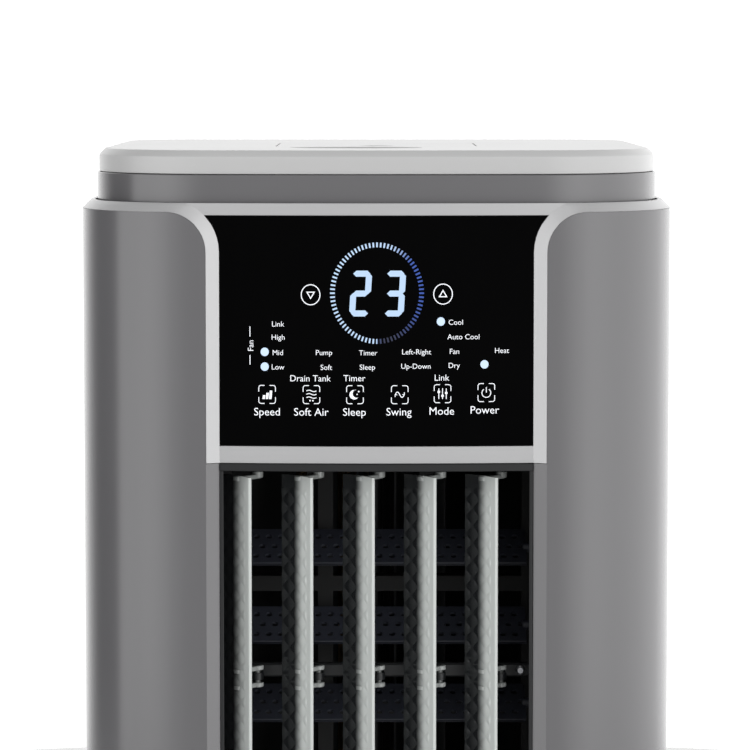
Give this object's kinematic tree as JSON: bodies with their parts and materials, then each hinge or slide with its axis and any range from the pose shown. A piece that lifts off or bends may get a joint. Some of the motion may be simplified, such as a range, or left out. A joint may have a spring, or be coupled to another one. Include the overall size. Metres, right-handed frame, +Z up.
{
  "type": "evaporative cooler",
  "caption": "Upright mobile evaporative air cooler with a dark control panel, swinging upright vanes, tilting perforated blades, a pull-out tank and castors.",
  "frame": {"origin": "on the floor, under the middle of the body's bounding box", "axes": "+Z up, -Y out of the front where the air leaves, +X to the right of someone who faces the front"},
  "size_m": [0.342, 0.332, 0.76],
  "materials": {
    "shell_grey": "satin",
    "lid_grey": "satin",
    "trim_silver": "satin metallic paint",
    "glass_black": "gloss, back-printed black",
    "board_green": "solder mask",
    "vane_grey": "gloss",
    "blade_dark": "satin",
    "duct_black": "matt",
    "mech_dark": "matt",
    "motor_metal": "bare",
    "pad_brown": "resin paper",
    "filter_black": "woven mesh",
    "water_white": "translucent white",
    "clear_blue": "clear",
    "rubber_black": "matt",
    "pump_black": "matt"
  },
  "bodies": {
    "cabinet": {"base_pan": "mech_dark", "side_shell_left": "shell_grey", "side_shell_right": "shell_grey", "rear_shell": "shell_grey", "front_lower_cover": "shell_grey", "trim_frame": "trim_silver", "control_glass": "glass_black", "display_board": "board_green", "neck_ring": "shell_grey", "top_lid": "lid_grey", "ice_box": "water_white", "outlet_bezel": "mech_dark", "outlet_liner": "duct_black", "vane_stay_rail": "mech_dark", "vane_motor": "motor_metal", "blade_motor": "motor_metal", "heater_core": "motor_metal", "fan_scroll": "duct_black", "fan_top_plate": "duct_black", "fan_motor": "motor_metal", "mid_deck": "duct_black", "water_distributor": "water_white", "pump": "pump_black", "water_hose": "clear_blue", "control_box": "water_white", "power_inlet": "mech_dark", "side_grip_left": "mech_dark", "side_grip_right": "mech_dark"},
    "flap": {"fill_flap": "lid_grey"},
    "vane_link": {"vane_link_bar": "mech_dark"},
    "blade_link": {"blade_link_rod": "mech_dark"},
    "fan": {"fan_rotor": "duct_black"},
    "rear_cartridge": {"rear_grille": "mech_dark", "dust_filter": "filter_black", "cooling_pad": "pad_brown"},
    "tank": {"water_tank": "water_white", "tank_level_window": "clear_blue"},
    "drain_plug": {"drain_plug": "rubber_black"},
    "vane_1": {"vane_1": "vane_grey"},
    "vane_2": {"vane_2": "vane_grey"},
    "vane_3": {"vane_3": "vane_grey"},
    "vane_4": {"vane_4": "vane_grey"},
    "vane_5": {"vane_5": "vane_grey"},
    "air_blade_1": {"air_blade_1": "blade_dark"},
    "air_blade_2": {"air_blade_2": "blade_dark"},
    "air_blade_3": {"air_blade_3": "blade_dark"},
    "air_blade_4": {"air_blade_4": "blade_dark"},
    "air_blade_5": {"air_blade_5": "blade_dark"},
    "air_blade_6": {"air_blade_6": "blade_dark"},
    "yoke_front_left": {"castor_yoke_front_left": "mech_dark"},
    "wheels_front_left": {"castor_wheels_front_left": "rubber_black"},
    "yoke_front_right": {"castor_yoke_front_right": "mech_dark"},
    "wheels_front_right": {"castor_wheels_front_right": "rubber_black"},
    "yoke_rear_left": {"castor_yoke_rear_left": "mech_dark"},
    "wheels_rear_left": {"castor_wheels_rear_left": "rubber_black"},
    "yoke_rear_right": {"castor_yoke_rear_right": "mech_dark"},
    "wheels_rear_right": {"castor_wheels_rear_right": "rubber_black"}
  },
  "joints": [
    {"name": "flap_hinge", "type": "hinge", "parent": "cabinet", "child": "flap", "pos_m": [0, 0.0332, 0.7583], "axis": [-1, 0, 0], "range_deg": [0, 100]},
    {"name": "vane_1_swing", "type": "hinge", "parent": "cabinet", "child": "vane_1", "pos_m": [-0.0684, -0.134, 0.428], "axis": [0, 0, 1], "range_deg": [-55, 15]},
    {"name": "vane_2_swing", "type": "hinge", "parent": "cabinet", "child": "vane_2", "pos_m": [-0.0335, -0.134, 0.428], "axis": [0, 0, 1], "range_deg": [-55, 15]},
    {"name": "vane_3_swing", "type": "hinge", "parent": "cabinet", "child": "vane_3", "pos_m": [0.0014, -0.134, 0.428], "axis": [0, 0, 1], "range_deg": [-55, 15]},
    {"name": "vane_4_swing", "type": "hinge", "parent": "cabinet", "child": "vane_4", "pos_m": [0.0363, -0.134, 0.428], "axis": [0, 0, 1], "range_deg": [-55, 15]},
    {"name": "vane_5_swing", "type": "hinge", "parent": "cabinet", "child": "vane_5", "pos_m": [0.0712, -0.134, 0.428], "axis": [0, 0, 1], "range_deg": [-55, 15]},
    {"name": "vane_link_turn", "type": "hinge", "parent": "vane_3", "child": "vane_link", "pos_m": [-0.0027, -0.12272, 0.5865], "axis": [0, 0, 1], "range_deg": [-15, 55]},
    {"name": "air_blade_1_tilt", "type": "hinge", "parent": "cabinet", "child": "air_blade_1", "pos_m": [0, -0.096, 0.5268], "axis": [1, 0, 0], "range_deg": [-60, 12]},
    {"name": "air_blade_2_tilt", "type": "hinge", "parent": "cabinet", "child": "air_blade_2", "pos_m": [0, -0.096, 0.4808], "axis": [1, 0, 0], "range_deg": [-60, 12]},
    {"name": "air_blade_3_tilt", "type": "hinge", "parent": "cabinet", "child": "air_blade_3", "pos_m": [0, -0.096, 0.4348], "axis": [1, 0, 0], "range_deg": [-60, 12]},
    {"name": "air_blade_4_tilt", "type": "hinge", "parent": "cabinet", "child": "air_blade_4", "pos_m": [0, -0.096, 0.3888], "axis": [1, 0, 0], "range_deg": [-60, 12]},
    {"name": "air_blade_5_tilt", "type": "hinge", "parent": "cabinet", "child": "air_blade_5", "pos_m": [0, -0.096, 0.3428], "axis": [1, 0, 0], "range_deg": [-60, 12]},
    {"name": "air_blade_6_tilt", "type": "hinge", "parent": "cabinet", "child": "air_blade_6", "pos_m": [0, -0.096, 0.2968], "axis": [1, 0, 0], "range_deg": [-60, 12]},
    {"name": "blade_link_turn", "type": "hinge", "parent": "air_blade_3", "child": "blade_link", "pos_m": [-0.09775, -0.08504, 0.43968], "axis": [1, 0, 0], "range_deg": [-12, 60]},
    {"name": "fan_spin", "type": "hinge", "parent": "cabinet", "child": "fan", "pos_m": [0, 0.008, 0.42], "axis": [0, 0, 1], "continuous": true},
    {"name": "cartridge_slide", "type": "slide", "parent": "cabinet", "child": "rear_cartridge", "axis": [0, 1, 0], "range_m": [0, 0.12]},
    {"name": "tank_slide", "type": "slide", "parent": "cabinet", "child": "tank", "axis": [0, 1, 0], "range_m": [0, 0.2]},
    {"name": "drain_plug_pull", "type": "slide", "parent": "tank", "child": "drain_plug", "axis": [0, 1, 0], "range_m": [0, 0.03]},
    {"name": "swivel_front_left", "type": "hinge", "parent": "cabinet", "child": "yoke_front_left", "pos_m": [-0.12, -0.105, 0.05], "axis": [0, 0, 1], "continuous": true},
    {"name": "roll_front_left", "type": "hinge", "parent": "yoke_front_left", "child": "wheels_front_left", "pos_m": [-0.12, -0.093, 0.02], "axis": [1, 0, 0], "continuous": true},
    {"name": "swivel_front_right", "type": "hinge", "parent": "cabinet", "child": "yoke_front_right", "pos_m": [0.12, -0.105, 0.05], "axis": [0, 0, 1], "continuous": true},
    {"name": "roll_front_right", "type": "hinge", "parent": "yoke_front_right", "child": "wheels_front_right", "pos_m": [0.12, -0.093, 0.02], "axis": [1, 0, 0], "continuous": true},
    {"name": "swivel_rear_left", "type": "hinge", "parent": "cabinet", "child": "yoke_rear_left", "pos_m": [-0.12, 0.11, 0.05], "axis": [0, 0, 1], "continuous": true},
    {"name": "roll_rear_left", "type": "hinge", "parent": "yoke_rear_left", "child": "wheels_rear_left", "pos_m": [-0.12, 0.122, 0.02], "axis": [1, 0, 0], "continuous": true},
    {"name": "swivel_rear_right", "type": "hinge", "parent": "cabinet", "child": "yoke_rear_right", "pos_m": [0.12, 0.11, 0.05], "axis": [0, 0, 1], "continuous": true},
    {"name": "roll_rear_right", "type": "hinge", "parent": "yoke_rear_right", "child": "wheels_rear_right", "pos_m": [0.12, 0.122, 0.02], "axis": [1, 0, 0], "continuous": true}
  ],
  "couplings": [
    {"joint": "vane_1_swing", "follows": "vane_3_swing", "ratio": 1},
    {"joint": "vane_2_swing", "follows": "vane_3_swing", "ratio": 1},
    {"joint": "vane_4_swing", "follows": "vane_3_swing", "ratio": 1},
    {"joint": "vane_5_swing", "follows": "vane_3_swing", "ratio": 1},
    {"joint": "vane_link_turn", "follows": "vane_3_swing", "ratio": -1},
    {"joint": "air_blade_1_tilt", "follows": "air_blade_3_tilt", "ratio": 1},
    {"joint": "air_blade_2_tilt", "follows": "air_blade_3_tilt", "ratio": 1},
    {"joint": "air_blade_4_tilt", "follows": "air_blade_3_tilt", "ratio": 1},
    {"joint": "air_blade_5_tilt", "follows": "air_blade_3_tilt", "ratio": 1},
    {"joint": "air_blade_6_tilt", "follows": "air_blade_3_tilt", "ratio": 1},
    {"joint": "blade_link_turn", "follows": "air_blade_3_tilt", "ratio": -1}
  ]
}
